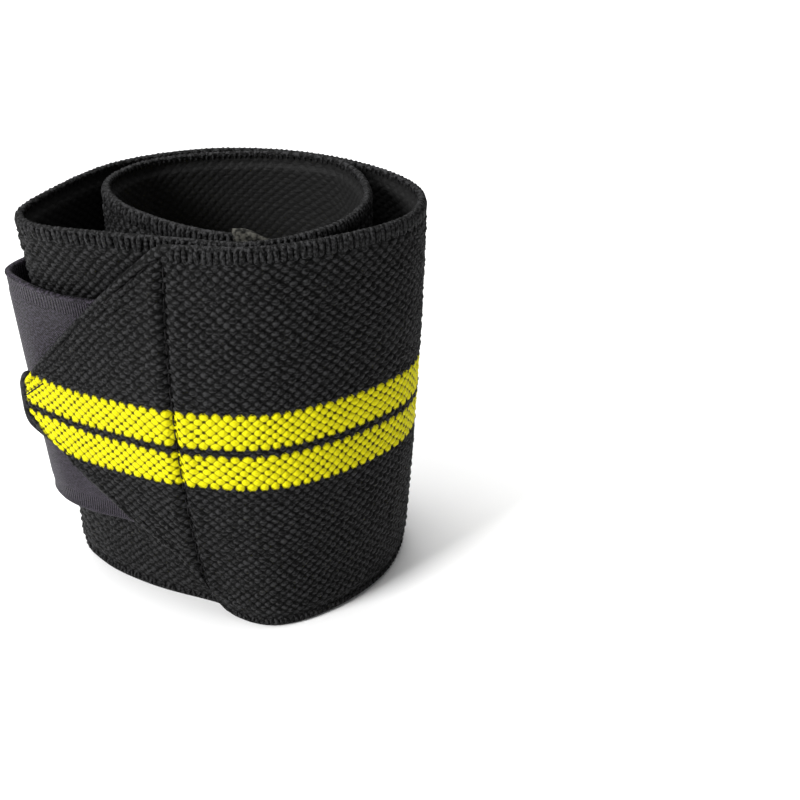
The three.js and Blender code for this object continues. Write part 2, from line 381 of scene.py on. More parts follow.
def roll_up(name: str, points: Array, uv: Array, marks: dict) -> bpy.types.Object:
    """Rolls a flat grid up onto its place and closes it into one shell.

    Args:
        name: The piece's name.
        points: Place of each vertex in metres, section by section: (columns, rows, 3).
        uv: Length and height of each vertex in mm: (columns, rows, 2).
        marks: Values from 0 to 1 for the finish to read, by name: (columns, rows) each.

    Returns:
        The finished shell, smooth, with its UV map.
    """
    columns, rows = points.shape[:2]
    obj = cloth_grid(name, columns, rows)
    mesh = obj.data
    # The grid's vertices run along the strip first, so the table is turned to suit.
    mesh.vertices.foreach_set("co", points.transpose(1, 0, 2).astype(np.float32).ravel())
    loops = np.empty(len(mesh.loops), dtype=np.int32)
    mesh.loops.foreach_get("vertex_index", loops)
    flat_uv = (uv.transpose(1, 0, 2).reshape(-1, 2) * UV_PER_MM)[loops]
    mesh.uv_layers[0].name = "cloth"
    mesh.uv_layers[0].data.foreach_set("uv", flat_uv.astype(np.float32).ravel())
    for key, values in marks.items():
        layer = mesh.attributes.new(key, "FLOAT", "POINT")
        layer.data.foreach_set("value", values.T.astype(np.float32).ravel())
    mesh.update()
    select_only(obj)
    bpy.ops.object.mode_set(mode="EDIT")
    bpy.ops.mesh.select_all(action="SELECT")
    bpy.ops.mesh.remove_doubles(threshold=1e-6)
    bpy.ops.mesh.select_all(action="DESELECT")
    bpy.ops.mesh.select_mode(type="EDGE")
    bpy.ops.mesh.select_non_manifold(
        extend=False, use_wire=False, use_multi_face=False, use_non_contiguous=False, use_verts=False
    )
    bpy.ops.mesh.fill_holes(sides=0)
    bpy.ops.mesh.select_all(action="SELECT")
    bpy.ops.mesh.normals_make_consistent(inside=False)
    bpy.ops.object.mode_set(mode="OBJECT")
    bpy.ops.object.shade_smooth_by_angle(angle=math.radians(70))
    obj.select_set(False)
    return obj


@dataclass
class StripShell:
    """A closed strip of cloth along a surface, with rounded edges and relief on its faces.

    Attributes:
        surface: The middle surface it follows.
        first: Length at which it starts, in mm.
        last: Length at which it ends, in mm.
        step: Spacing of its sections, in mm.
        outer: Distance of its outer face from the middle surface, in mm.
        inner: Distance of its inner face, in mm.
        fine: The face with the finest relief.
        fine_step: Spacing of the vertices up the fine face, in mm.
        coarse_step: The same on the other face, in mm.
        rim_steps: Vertices round each rounded edge.
        lattice: Gives the weave's own length and height, or none where they are the cloth's.
        taper: Gives the share of the thickness that is left at a length, or none.
        binding: Gives how dark the turned edge is at a length and height, or none.
    """

    surface: ClothSurface
    first: float
    last: float
    step: float
    outer: float = 1.0
    inner: float = -1.0
    fine: Face = Face.OUTER
    fine_step: float = 0.38
    coarse_step: float = 0.65
    rim_steps: int = 5
    lattice: Callable[[Array, Array], tuple[Array, Array]] | None = None
    taper: Callable[[Array], Array] | None = None
    binding: Callable[[Array, Array], Array] | None = None

    def section(self, foot: Array, top: Array) -> tuple[Array, Array, Array]:
        """The levels round one section, from the foot of the outer face and round.

        Args:
            foot: Foot height of each section in mm.
            top: Top height of each section in mm.

        Returns:
            Heights and distances outside the surface, (sections, levels) each, and which face
            each level is on: 1 outer, -1 inner, 0 rim.
        """
        radius = (self.outer - self.inner) / 2
        middle = (self.outer + self.inner) / 2
        tallest = float(np.max(top - foot)) - 2 * radius
        steps = {Face.OUTER: self.coarse_step, Face.INNER: self.coarse_step}
        steps[self.fine] = self.fine_step
        up = np.linspace(0, 1, max(3, round(tallest / steps[Face.OUTER])) + 1)
        down = np.linspace(1, 0, max(3, round(tallest / steps[Face.INNER])) + 1)
        turn = np.linspace(0, math.pi, self.rim_steps + 2)[1:-1]
        z, out, side = [], [], []
        low, high = foot + radius, top - radius
        for shares, face, sign, end in ((up, self.outer, 1, high), (down, self.inner, -1, low)):
            for share in shares:
                z.append(low + (high - low) * share)
                out.append(np.full_like(low, face))
                side.append(sign)
            for angle in turn:
                z.append(end + sign * radius * math.sin(angle))
                out.append(np.full_like(low, middle + sign * radius * math.cos(angle)))
                side.append(0)
        z.append(z[0])
        out.append(out[0])
        side.append(side[0])
        return np.stack(z, axis=1), np.stack(out, axis=1), np.array(side)

    def build(
        self,
        name: str,
        edges: Callable[[Array], tuple[Array, Array]],
        relief: Callable[[Array, Array, Array], Array],
    ) -> bpy.types.Object:
        """Makes the shell.

        Args:
            name: The piece's name.
            edges: Gives foot and top heights at table rows.
            relief: Gives the outward relief in mm from length, height and side.

        Returns:
            The finished piece.
        """
        count = max(2, round((self.last - self.first) / self.step)) + 1
        length = np.linspace(self.first, self.last, count)
        row = self.surface.row_of(length)
        foot, top = edges(row)
        z, out, side = self.section(foot, top)
        levels = z.shape[1]
        along = np.repeat(length, levels)
        rows = np.repeat(row, levels)
        sides = np.tile(side, count)
        height = z.ravel()
        bump = relief(along, height, sides)
        middle, radius = (self.outer + self.inner) / 2, (self.outer - self.inner) / 2
        from_middle = out.ravel() - middle
        outwards = np.where(sides == 0, from_middle / radius, sides)
        thinned = self.taper(along) if self.taper else 1.0
        distance = middle + (from_middle + bump * outwards) * thinned
        points = self.surface.place(rows, height, distance).reshape(count, levels, 3)
        place = self.lattice(along, height) if self.lattice else (along, height)
        uv = np.stack(place, axis=1).reshape(count, levels, 2)
        marks = {"inner_face": np.tile(side < 0, (count, 1))}
        if self.binding:
            marks["binding"] = self.binding(along, height).reshape(count, levels)
        return roll_up(name, points, uv, marks)


# Kinds of node: the type, and the setting that makes it a sum, a smooth step or a colour mix.
PLUS = ("Math", {"operation": "ADD"})
MINUS = ("Math", {"operation": "SUBTRACT"})
TIMES = ("Math", {"operation": "MULTIPLY"})
OVER = ("Math", {"operation": "DIVIDE"})
LARGEST = ("Math", {"operation": "MAXIMUM"})
SMALLEST = ("Math", {"operation": "MINIMUM"})
SINE = ("Math", {"operation": "SINE"})
COSINE = ("Math", {"operation": "COSINE"})
ABSOLUTE = ("Math", {"operation": "ABSOLUTE"})
ROUND = ("Math", {"operation": "ROUND"})
SMOOTH = ("MapRange", {"interpolation_type": "SMOOTHSTEP"})
COLOURS = ("Mix", {"data_type": "RGBA"})
# Sockets of a colour mix: its two colours, and its result.
LOW, HIGH, MIXED = 6, 7, 2
Output = bpy.types.NodeSocket


class Shader:
    """Builds one material's node tree."""

    def __init__(self, name: str) -> None:
        """Starts an empty material.

        Args:
            name: The material's name.
        """
        self.material = bpy.data.materials.new(name)
        self.material.use_nodes = True
        self.tree = self.material.node_tree
        self.tree.nodes.clear()

    def add(
        self, kind: str | tuple, *inputs: object, output: int | str = 0, **settings: object
    ) -> Output | None:
        """Adds a node with its settings and links.

        Args:
            kind: The node's type name without ShaderNode, or one of the kinds above.
            inputs: What each input socket gets, in order: a number, a hex colour or another
                node's output. One dict gives them by name or number instead.
            output: The output that is wanted.
            settings: Attributes of the node.

        Returns:
            The output, or None for a node that has none.
        """
        name, fixed = (kind, {}) if isinstance(kind, str) else kind
        node = self.tree.nodes.new("ShaderNode" + name)
        for key, value in {**fixed, **settings}.items():
            setattr(node, key, value)
        by_key = inputs[0] if inputs and isinstance(inputs[0], dict) else dict(enumerate(inputs))
        for key, value in by_key.items():
            if isinstance(value, Output):
                self.tree.links.new(value, node.inputs[key])
            else:
                node.inputs[key].default_value = linear(value) if isinstance(value, str) else value
        return node.outputs[output] if len(node.outputs) else None

    def cloth_axes(self) -> tuple[Output, Output]:
        """Reads the length and the height in mm from the piece's own UV map.

        Returns:
            The length and the height.
        """
        uv = self.add("UVMap", uv_map="cloth")
        along, up = self.add("SeparateXYZ", uv).node.outputs[:2]
        per_unit = 1 / UV_PER_MM
        return self.add(TIMES, along, per_unit), self.add(TIMES, up, per_unit)

    def finish(
        self, colour: Output, roughness: float, normal: Output, sheen: float, specular: float = 0.08
    ) -> bpy.types.Material:
        """Closes the tree with a Principled surface.

        Args:
            colour: The colour output.
            roughness: How matt the fibres are.
            normal: The bump output.
            sheen: How strongly the fibres' fuzz lights up at the edges.
            specular: How much the surface mirrors; loose fibres mirror little.

        Returns:
            The material.
        """
        inputs = {
            "Base Color": colour,
            "Normal": normal,
            "Roughness": roughness,
            "IOR": 1.5,
            "Sheen Weight": sheen,
            "Sheen Roughness": 0.5,
            "Specular IOR Level": specular,
        }
        surface = self.add("BsdfPrincipled", inputs)
        self.add("OutputMaterial", {"Surface": surface})
        return self.material


@dataclass(frozen=True)
class StripedElastic:
    """Woven polyester elastic: soft round lobes of matt yarn, black with two lemon stripes.

    Attributes:
        weave: The lattice of the lobes.
        black: Colour of the black lobes' flanks.
        black_painted_glint: Painted glint of the yarns that catch the light on the lobes' crowns.
        black_inner: The one even colour of the inner face.
        black_painted_shade: Painted shade in the creases between the black lobes and round their pits.
        yellow: Colour of the yellow lobes.
        yellow_shade: Painted shade on their flanks.
        yellow_painted_pit_shade: Painted shade in the pits between them.
        first_row: Row of lobes, counted from the black row, at which a stripe begins.
        last_row: Row at which it ends.
        stripe_edge: How softly one colour gives way to the other, as a share of a row.
        yarn_mm: Thickness of the fine yarns.
        yarn_stretch: How much longer than thick their marks are drawn.
        lit_dome: Where on a lobe's dome the painted glint begins, and where it is full.
        lit_yarn: The same on the yarns.
        crown_dome: The same for the full yellow of a stripe, where the painted shade of the flanks ends.
        crease_dome: Where on the dome the painted shade in the crease between lobes ends.
        crease_pit_mm: How far round a pit the painted shade reaches.
        pit_least_mm: Size of the smallest pit in a stripe.
        pit_spread_mm: How much larger the largest is.
        pit_edge_mm: How softly a pit ends.
        inner_share: How plain the inner face's colour is, where no painted glint or painted shade stands
            out.
        inner_flat: How much of the fine relief the inner face has lost.
        wear_scale: Size of the slightly lighter and darker clouds, per mm.
        wear: Darkest cloud, and how much lighter the lightest is.
        dome_bump: Height of a lobe against that of a yarn in the fine relief.
    """

    weave: Weave
    black: str = "#080808"
    black_painted_glint: str = "#2d2d2e"
    black_inner: str = "#1c1c1c"
    black_painted_shade: str = "#020202"
    yellow: str = "#d4cd07"
    yellow_shade: str = "#867f02"
    yellow_painted_pit_shade: str = "#353202"
    first_row: float = 1.5
    last_row: float = 7.5
    stripe_edge: tuple = (-0.06, 0.06)
    yarn_mm: float = 0.25
    yarn_stretch: float = 0.45
    lit_dome: tuple = (-0.05, 0.32)
    lit_yarn: tuple = (0.4, 0.6)
    crown_dome: tuple = (-0.04, 0.36)
    crease_dome: tuple = (0.02, 0.26)
    crease_pit_mm: tuple = (0.2, 0.62)
    pit_least_mm: float = 0.03
    pit_spread_mm: float = 0.32
    pit_edge_mm: tuple = (-0.05, 0.22)
    inner_share: float = 0.85
    inner_flat: float = 0.5
    wear_scale: float = 0.22
    wear: tuple = (0.86, 0.28)
    dome_bump: float = 0.6

    def lattice(self, s: Shader) -> tuple[Output, ...]:
        """Adds the place in the lobe and the stripe, from length and height.

        Args:
            s: The material being built.

        Returns:
            The lobe's dome, distance to the nearest pit in mm, stripe mask, lobe noise, length
            and height.
        """
        length, height = s.cloth_axes()
        u = s.add(OVER, length, self.weave.period)
        k = s.add(OVER, s.add(MINUS, height, self.weave.centre), self.weave.pitch)
        half = s.add(TIMES, s.add(MINUS, k, 0.5), 0.5)
        # A lobe lies where two slanting families of columns cross.
        lobe, within, arches, from_corner = [], [], [], []
        for slant in (PLUS, MINUS):
            place = s.add(slant, u, half)
            lobe.append(s.add(ROUND, place))
            within.append(s.add(MINUS, place, lobe[-1]))
            arches.append(s.add(COSINE, s.add(TIMES, within[-1], math.pi)))
            from_corner.append(s.add(MINUS, s.add(ABSOLUTE, within[-1]), 0.5))
        dome = s.add(TIMES, *arches)
        # Pits lie at the corners of the lobes, on the side that the two places point to.
        sign = s.add("Math", s.add(TIMES, *within), operation="SIGN")
        second = s.add(TIMES, from_corner[1], sign)
        squares = []
        for sum_kind, size in ((PLUS, self.weave.period / 2), (MINUS, self.weave.pitch)):
            away = s.add(TIMES, s.add(sum_kind, from_corner[0], second), size)
            squares.append(s.add("Math", away, 2.0, operation="POWER"))
        pit = s.add("Math", s.add(PLUS, *squares), operation="SQRT")
        # The outermost lobes of a stripe stand out as round scallops.
        upper = s.add("Math", k, 0.0, operation="GREATER_THAN")
        shifted = s.add(MINUS, u, s.add(TIMES, upper, 0.5))
        middle = s.add(MINUS, shifted, s.add(ROUND, shifted))
        round_top = s.add(COSINE, s.add(TIMES, middle, math.pi))
        away = s.add(ABSOLUTE, k)
        past_first = s.add(PLUS, s.add(MINUS, away, self.first_row), round_top)
        before_last = s.add(MINUS, round_top, s.add(MINUS, away, self.last_row))
        ends = (past_first, before_last)
        edges = [s.add(SMOOTH, end, *self.stripe_edge) for end in ends]
        stripe = s.add(TIMES, *edges)
        noise = s.add("TexWhiteNoise", {"Vector": s.add("CombineXYZ", *lobe)}, noise_dimensions="2D")
        return dome, pit, stripe, noise, length, height

    def material(self) -> bpy.types.Material:
        """Builds the finish.

        Returns:
            The material.
        """
        s = Shader("woven_elastic_black_lemon")
        dome, pit, stripe, noise, length, height = self.lattice(s)
        # Two or three fine yarns run along each lobe; they are a quarter of a millimetre thick.
        place = s.add("CombineXYZ", s.add(TIMES, length, self.yarn_stretch), height)
        yarn_scale = 0.5 / self.yarn_mm
        yarn = s.add("TexNoise", {"Vector": place, "Scale": yarn_scale, "Detail": 2.0, "Roughness": 0.6})
        cloud = s.add("TexNoise", {"Vector": place, "Scale": self.wear_scale, "Detail": 2.0})
        # Painted glints: the yarns on the crowns of the black lobes are drawn lighter, as if they caught
        # the light.
        bright_lobe = s.add(SMOOTH, dome, *self.lit_dome)
        bright_yarn = s.add(SMOOTH, yarn, *self.lit_yarn)
        lit = s.add(TIMES, bright_lobe, bright_yarn)
        black = s.add(COLOURS, {0: lit, LOW: self.black, HIGH: self.black_painted_glint}, output=MIXED)
        # Painted shade darkens the creases and round the pits; the inner face has none: only its middle
        # tone shows.
        mark = s.add("Attribute", output="Fac", attribute_name="inner_face")
        inner = s.add(TIMES, mark, self.inner_share)
        off_edge = s.add(SMOOTH, dome, *self.crease_dome)
        off_pit = s.add(SMOOTH, pit, *self.crease_pit_mm)
        out_of_painted_shade = s.add(LARGEST, s.add(TIMES, off_edge, off_pit), inner)
        black = s.add(COLOURS, {0: out_of_painted_shade, LOW: self.black_painted_shade, HIGH: black}, output=MIXED)
        black = s.add(COLOURS, {0: inner, LOW: black, HIGH: self.black_inner}, output=MIXED)
        # The pits of the stripes are painted dark with shade; some are wide, others drawn nearly shut.
        spread = s.add(TIMES, noise, self.pit_spread_mm)
        size = s.add(PLUS, spread, self.pit_least_mm)
        shut = s.add(SMOOTH, s.add(MINUS, pit, size), *self.pit_edge_mm)
        # Painted shade darkens the flanks of the yellow lobes.
        crown = s.add(SMOOTH, dome, *self.crown_dome)
        yellow = s.add(COLOURS, {0: crown, LOW: self.yellow_shade, HIGH: self.yellow}, output=MIXED)
        yellow = s.add(COLOURS, {0: shut, LOW: self.yellow_painted_pit_shade, HIGH: yellow}, output=MIXED)
        binding = s.add("Attribute", output="Fac", attribute_name="binding")
        stripe = s.add(TIMES, stripe, s.add(MINUS, 1.0, binding))
        colour = s.add(COLOURS, {0: stripe, LOW: black, HIGH: yellow}, output=MIXED)
        least, more = self.wear
        wear = s.add(PLUS, s.add(TIMES, cloud, more), least)
        worn = s.add("HueSaturation", {"Value": wear, "Color": colour})
        # The inner face is the flatter one.
        relief = s.add(PLUS, yarn, s.add(TIMES, dome, self.dome_bump))
        left = s.add(MINUS, 1.0, s.add(TIMES, inner, self.inner_flat))
        relief = s.add(TIMES, relief, left)
        bump = s.add("Bump", {"Strength": 0.8, "Distance": 0.4 * MM, "Height": relief})
        return s.finish(worn, 0.6, bump, 0.01)


@dataclass(frozen=True)
class YarnFinish:
    """Spun polyester yarn of the ribbed edges and stitches: matt, with a faint twist.

    Attributes:
        name: The material's name.
        dark: Colour between the fibres.
        light: Painted glint of the fibres that catch the light.
        roughness: How matt it is.
        grain_mm: Size of the yarn's twist marks.
        light_from: Where in the grain the painted glints begin, and where they are full.
    """

    name: str
    dark: str = "#060606"
    light: str = "#2f2f30"
    roughness: float = 0.6
    grain_mm: float = 0.24
    light_from: tuple = (0.38, 0.64)

    def material(self) -> bpy.types.Material:
        """Builds the finish.

        Returns:
            The material.
        """
        s = Shader(self.name)
        place = s.add("TexCoord", output="Object")
        grain = s.add("TexNoise", {"Vector": place, "Scale": 0.5 / (self.grain_mm * MM), "Detail": 2.0})
        # Painted glints: the grain's high spots are drawn lighter, as fibres that catch the light.
        share = s.add(SMOOTH, grain, *self.light_from)
        colour = s.add(COLOURS, {0: share, LOW: self.dark, HIGH: self.light}, output=MIXED)
        bump = s.add("Bump", {"Strength": 0.8, "Distance": 0.2 * MM, "Height": grain})
        return s.finish(colour, self.roughness, bump, 0.01)


@dataclass(frozen=True)
class HookTape:
    """Back of nylon hook tape: a fine plain weave, smooth, with a slight purple shine.

    Attributes:
        dark: Colour between the threads, painted shade there, and of the darker patches.
        light: Colour of the threads that catch the light, a painted highlight, and of the lighter patches.
        foot: Height of the tape's lower edge in mm.
        top: Height of its upper edge in mm.
        thread_mm: Spacing of the threads along the tape's height.
        weft_share: Number of threads the other way, as a share of theirs.
        cloud_stretch: How much longer than high the uneven patches are.
        cloud_scale: Size of those patches, per mm.
        even_share: Share of the light colour that weave and patches give.
        grain_mm: Size of the grain.
        grain_middle: Level of the grain that leaves the colour as it is.
        rough: Strength of the grain low down, and how much stronger it is high up.
        rough_from: Heights in mm between which it grows.
        rib_mm: Spacing of the ribs along both edges.
        rib_start: Distance from the edge in mm over which the ribs begin, inside a thin cord.
        rib_end: Distance over which they end.
        rib_painted_light: How much lighter a rib is than its groove, with painted light and painted shade,
            and how much darker both are.
    """

    dark: str = "#0a080c"
    light: str = "#38333d"
    foot: float = 16.4
    top: float = 66.4
    thread_mm: float = 0.5
    weft_share: float = 0.8
    cloud_stretch: float = 0.4
    cloud_scale: float = 0.8
    even_share: float = 0.75
    grain_mm: float = 0.46
    grain_middle: float = 0.54
    rough: tuple = (1.7, 2.9)
    rough_from: tuple = (30.0, 48.0)
    rib_mm: float = 0.63
    rib_start: tuple = (0.7, 1.0)
    rib_end: tuple = (4.0, 3.6)
    rib_painted_light: tuple = (1.1, 0.6)

    def wave(self, s: Shader, place: Output, per_mm: float) -> Output:
        """Adds a wave along one direction of the tape.

        Args:
            s: The material being built.
            place: Length or height in mm.
            per_mm: Waves in a millimetre.

        Returns:
            The wave, from -1 to 1.
        """
        return s.add(SINE, s.add(TIMES, place, 2 * math.pi * per_mm))

    def ribs(self, s: Shader, length: Output, height: Output) -> tuple[Output, Output]:
        """Adds the ribs along both edges.

        Args:
            s: The material being built.
            length: Length along the tape in mm.
            height: Height in mm.

        Returns:
            The ribs from 0 to 1, and the share of each place that lies among them.
        """
        from_top = s.add(MINUS, self.top, height)
        from_foot = s.add(MINUS, height, self.foot)
        from_edge = s.add(SMALLEST, from_top, from_foot)
        ends = [s.add(SMOOTH, from_edge, *end) for end in (self.rib_start, self.rib_end)]
        halved = s.add(TIMES, self.wave(s, length, 1 / self.rib_mm), 0.5)
        return s.add(PLUS, halved, 0.5), s.add(TIMES, *ends)

    def material(self) -> bpy.types.Material:
        """Builds the finish.

        Returns:
            The material.
        """
        s = Shader("nylon_hook_tape_back")
        length, height = s.cloth_axes()
        # The threads' crossings are drawn in colour: painted highlights on the threads, painted shade
        # between them.
        warp = self.wave(s, height, 1 / self.thread_mm)
        weft = self.wave(s, length, self.weft_share / self.thread_mm)
        crossed = s.add(TIMES, s.add(TIMES, warp, weft), 0.5)
        woven = s.add(PLUS, crossed, 0.5)
        drawn = s.add("CombineXYZ", s.add(TIMES, length, self.cloud_stretch), height)
        cloud = s.add("TexNoise", {"Vector": drawn, "Scale": self.cloud_scale, "Detail": 3.0})
        even = s.add("CombineXYZ", length, height)
        grain = s.add("TexNoise", {"Vector": even, "Scale": 1 / self.grain_mm, "Detail": 1.0})
        share = s.add(PLUS, s.add(TIMES, woven, 0.5), cloud)
        share = s.add(TIMES, share, self.even_share)
        # The grain shows more on the tape's upper half than on its lower one.
        least, more = self.rough
        high_up = s.add(SMOOTH, height, *self.rough_from)
        rough = s.add(PLUS, s.add(TIMES, high_up, more), least)
        specks = s.add(TIMES, s.add(MINUS, grain, self.grain_middle), rough)
        share = s.add(PLUS, share, specks)
        # Both edges are ribbed for a few millimetres, inside a thin cord, drawn with painted light and
        # shade.
        rib, ribbed = self.ribs(s, length, height)
        lighter, darker = self.rib_painted_light
        tone = s.add(MINUS, s.add(TIMES, rib, lighter), darker)
        share = s.add(PLUS, share, s.add(TIMES, ribbed, tone))
        colour = s.add(COLOURS, {0: share, LOW: self.dark, HIGH: self.light}, output=MIXED)
        rib_height = s.add(TIMES, s.add(TIMES, rib, ribbed), 2.0)
        relief = s.add(PLUS, woven, rib_height)
        bump = s.add("Bump", {"Strength": 0.6, "Distance": 0.2 * MM, "Height": relief})
        return s.finish(colour, 0.55, bump, 0.03, 0.12)


@dataclass(frozen=True)
class LoopTape:
    """Napped nylon loop tape: tangled fine loops, quite matt, purple-black.

    Attributes:
        dark: Colour between the loops.
        light: Painted glint of the loops that catch the light.
        tuft_mm: Size of a tuft of loops.
        loop_mm: Size of one loop, drawn coarser than the real one so that it shows.
        light_from: Where in a tuft the painted glints begin, and where they are full.
    """

    dark: str = "#0c0a0e"
    light: str = "#2b2531"
    tuft_mm: float = 0.9
    loop_mm: float = 0.45
    light_from: tuple = (0.3, 0.7)

    def material(self) -> bpy.types.Material:
        """Builds the finish.

        Returns:
            The material.
        """
        s = Shader("napped_nylon_loops")
        place = s.add("TexCoord", output="Object")
        tuft_scale = 0.5 / (self.tuft_mm * MM)
        tuft = s.add("TexNoise", {"Vector": place, "Scale": tuft_scale, "Detail": 4.0, "Roughness": 0.7})
        loop = s.add("TexVoronoi", {"Vector": place, "Scale": 1 / (self.loop_mm * MM)})
        # Painted glints on the loops of the tufts; the dark colour shows between the loops.
        lit = s.add(SMOOTH, tuft, *self.light_from)
        share = s.add(TIMES, lit, s.add(MINUS, 1.0, loop))
        colour = s.add(COLOURS, {0: share, LOW: self.dark, HIGH: self.light}, output=MIXED)
        relief = s.add(MINUS, tuft, loop)
        bump = s.add("Bump", {"Strength": 0.8, "Distance": 0.6 * MM, "Height": relief})
        return s.finish(colour, 0.95, bump, 0.1)


def dress(obj: bpy.types.Object, material: bpy.types.Material) -> bpy.types.Object:
    """Gives a piece its material and its place on the part.

    Args:
        obj: The finished piece.
        material: Its finish.

    Returns:
        The piece.
    """
    obj.data.materials.clear()
    obj.data.materials.append(material)
    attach(obj, "root")
    LOG.info("%s: %d faces", obj.name, len(obj.data.polygons))
    return obj


def joined_tubes(name: str, paths: list, radius: Array, sides: int = 6) -> bpy.types.Object:
    """Makes many yarns as one mesh of closed tubes.

    Args:
        name: The piece's name.
        paths: Each yarn's points in metres, (points, 3), all with as many points.
        radius: Radius at each point of a yarn, or at each point of each, in metres.
        sides: Sides of each tube.

    Returns:
        The piece.
    """
    path = np.stack(paths)
    yarns, points = path.shape[:2]
    tangent = np.gradient(path, axis=1)
    tangent /= np.linalg.norm(tangent, axis=2)[..., None]
    # The rings are turned by the plane that a bowed yarn lies in, and by the upright where it
    # is straight.
    guide = np.zeros_like(tangent)
    guide[..., 2] = 1.0
    side = np.cross(tangent[:, points // 2][:, None, :], tangent[:, 0][:, None, :] + 1e-6)
    side = np.broadcast_to(side, tangent.shape).copy()
    weak = np.linalg.norm(side, axis=2) < 1e-3
    side[weak] = np.cross(tangent[weak], guide[weak] + np.array([0.01, 0.02, 0.0]))
    side -= (side * tangent).sum(axis=2)[..., None] * tangent
    side /= np.linalg.norm(side, axis=2)[..., None]
    up = np.cross(tangent, side)
    angle = np.arange(sides) / sides * 2 * math.pi
    ring = (
        np.cos(angle)[None, None, :, None] * side[:, :, None, :]
        + np.sin(angle)[None, None, :, None] * up[:, :, None, :]
    )
    radius = np.broadcast_to(radius, (yarns, points))
    skin = path[:, :, None, :] + ring * radius[:, :, None, None]
    start = path[:, 0] - tangent[:, 0] * radius[:, :1]
    end = path[:, -1] + tangent[:, -1] * radius[:, -1:]
    ends = np.stack([start, end], axis=1)
    per = points * sides + 2
    verts = np.concatenate([skin.reshape(yarns, -1, 3), ends], axis=1).reshape(-1, 3)
    faces = []
    for i in range(points - 1):
        for j in range(sides):
            a, b = i * sides + j, i * sides + (j + 1) % sides
            faces.append((a, b, b + sides, a + sides))
    caps = []
    last = (points - 1) * sides
    for j in range(sides):
        caps.append((per - 2, (j + 1) % sides, j))
        caps.append((per - 1, last + j, last + (j + 1) % sides))
    base = (np.arange(yarns) * per)[:, None, None]
    quads = (np.array(faces)[None] + base).reshape(-1, 4)
    tris = (np.array(caps)[None] + base).reshape(-1, 3)
    mesh = bpy.data.meshes.new(name)
    mesh.from_pydata(verts.tolist(), [], quads.tolist() + tris.tolist())
    obj = bpy.data.objects.new(name, mesh)
    bpy.context.collection.objects.link(obj)
    select_only(obj)
    bpy.ops.object.mode_set(mode="EDIT")
    bpy.ops.mesh.select_all(action="SELECT")
    bpy.ops.mesh.normals_make_consistent(inside=False)
    bpy.ops.object.mode_set(mode="OBJECT")
    bpy.ops.object.shade_smooth()
    obj.select_set(False)
    return obj


# A rib's way over an edge of the cloth, from its outer face to its inner one: how far out it
# lies as a share of the face's distance, how far in from the edge in mm, and the share of its
# thickness. It is drawn in along the rim's outer corner, and fades soon on the inner face.
RIB_PROFILE = (
    (0.80, 2.75, 0.7),
    (1.06, 2.3, 1.0),
    (1.14, 1.5, 1.0),
    (1.12, 0.85, 1.0),
    (0.94, 0.42, 0.82),
    (0.62, 0.16, 0.88),
    (0.1, 0.1, 0.92),
    (-0.55, 0.16, 0.85),
    (-0.84, 0.42, 0.65),
    (-0.78, 0.8, 0.5),
    (-0.6, 1.1, 0.4),
)


@dataclass(frozen=True)
class RibbedEdge:
    """How the ribs lie on one edge of the band.

    Attributes:
        name: The piece's name.
        top: Whether it is the top edge.
        first_row: Row at which the ribs begin.
        sunk: How far the edge stands over a rib's middle line, as a share of its radius.
        level: Share of the profile's height.
        out: Share of its distance from the cloth's middle.
        radius: Share of the ribs' radius.
    """

    name: str
    top: bool
    first_row: float
    sunk: float
    level: float = 1.0
    out: float = 1.0
    radius: float = 1.0


# The foot edge is pressed flat, and its ribs are short.
RIBBED_EDGES = (
    RibbedEdge("top_edge_ribs", True, 3.12, 0.8),
    RibbedEdge("foot_edge_ribs", False, 3.4, 0.9, 0.42, 0.86, 0.74),
)

# Way of the dark edge round the blunt tip: length along the band and height, in mm.
TIP_WAY = (
    (1.5, 47.0), (0.7, 46.2), (0.2, 44.6), (0.05, 42.5), (0.05, 40.0), (0.2, 37.8),
    (0.8, 36.2), (2.0, 35.2), (3.6, 34.4), (5.4, 33.5), (7.2, 32.7), (9.0, 31.9),
)

# How far the points of a stitch lie over its level, in mm: both its ends dip into the cloth.
STITCH_BOW = (-0.35, 0.1, 0.22, 0.22, 0.1, -0.35)


@dataclass(frozen=True)
class Stitches:
    """A kind of stitch. Its sizes are in mm.

    Attributes:
        out: How far outside the band's middle surface it lies.
        bow: How much it is bowed.
        length: How long it is.
        pitch: Distance from one stitch to the next.
    """

    out: float
    bow: float
    length: float = 2.1
    pitch: float = 2.9

    def spans(self, first: float, last: float) -> list:
        """Places the stitches of one row.

        Args:
            first: Where the row begins, in mm.
            last: Where it ends.

        Returns:
            The place of each point of a stitch along the row, stitch by stitch.
        """
        starts = np.arange(first, last, self.pitch)
        return [np.linspace(start, start + self.length, len(STITCH_BOW)) for start in starts]


